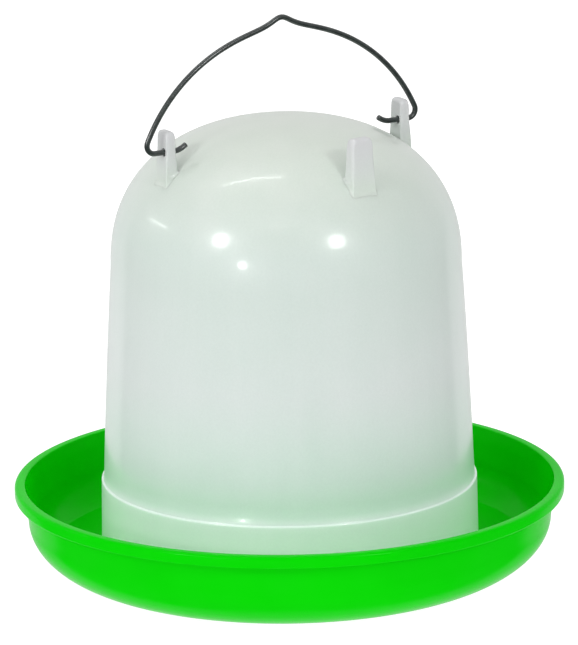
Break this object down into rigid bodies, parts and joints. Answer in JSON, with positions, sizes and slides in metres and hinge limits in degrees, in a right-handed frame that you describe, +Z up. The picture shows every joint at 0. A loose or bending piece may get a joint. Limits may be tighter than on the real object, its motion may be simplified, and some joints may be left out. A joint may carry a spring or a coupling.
{
  "type": "poultry waterer",
  "caption": "Bell-shaped gravity water fount standing in a round open drinking tray, with lugs on its crown and a swinging wire bail.",
  "frame": {"origin": "centre of the tray's underside, on the ground", "axes": "+Z up along the fount's axis; the pierced lugs lie on a line 30 degrees from +X towards +Y; the plain lug is on the -Y side"},
  "size_m": [0.3, 0.3, 0.3078],
  "materials": {
    "green_plastic": "bright green injection-moulded polypropylene, semi-gloss",
    "milky_plastic": "natural translucent polythene, milky, soft gloss",
    "dark_wire": "dark drawn steel wire with a dull sheen"
  },
  "bodies": {
    "tray": {"tray_pan": "green_plastic", "tray_centre_ring": "green_plastic", "bayonet_hook_1": "green_plastic", "bayonet_hook_2": "green_plastic", "bayonet_hook_3": "green_plastic"},
    "fount": {"fount_shell": "milky_plastic", "bail_lug_left": "milky_plastic", "bail_lug_right": "milky_plastic", "foot_lug": "milky_plastic", "bayonet_tab_1": "milky_plastic", "bayonet_tab_2": "milky_plastic", "bayonet_tab_3": "milky_plastic"},
    "bail": {"carrying_bail": "dark_wire"}
  },
  "joints": [
    {"name": "fount_lift", "type": "slide", "parent": "tray", "child": "fount", "axis": [0, 0, 1], "range_m": [0, 0.06]},
    {"name": "bail_swing", "type": "hinge", "parent": "fount", "child": "bail", "pos_m": [0.00125, -0.00216, 0.2415], "axis": [0.866, 0.5, 0], "range_deg": [-90, 75]}
  ]
}
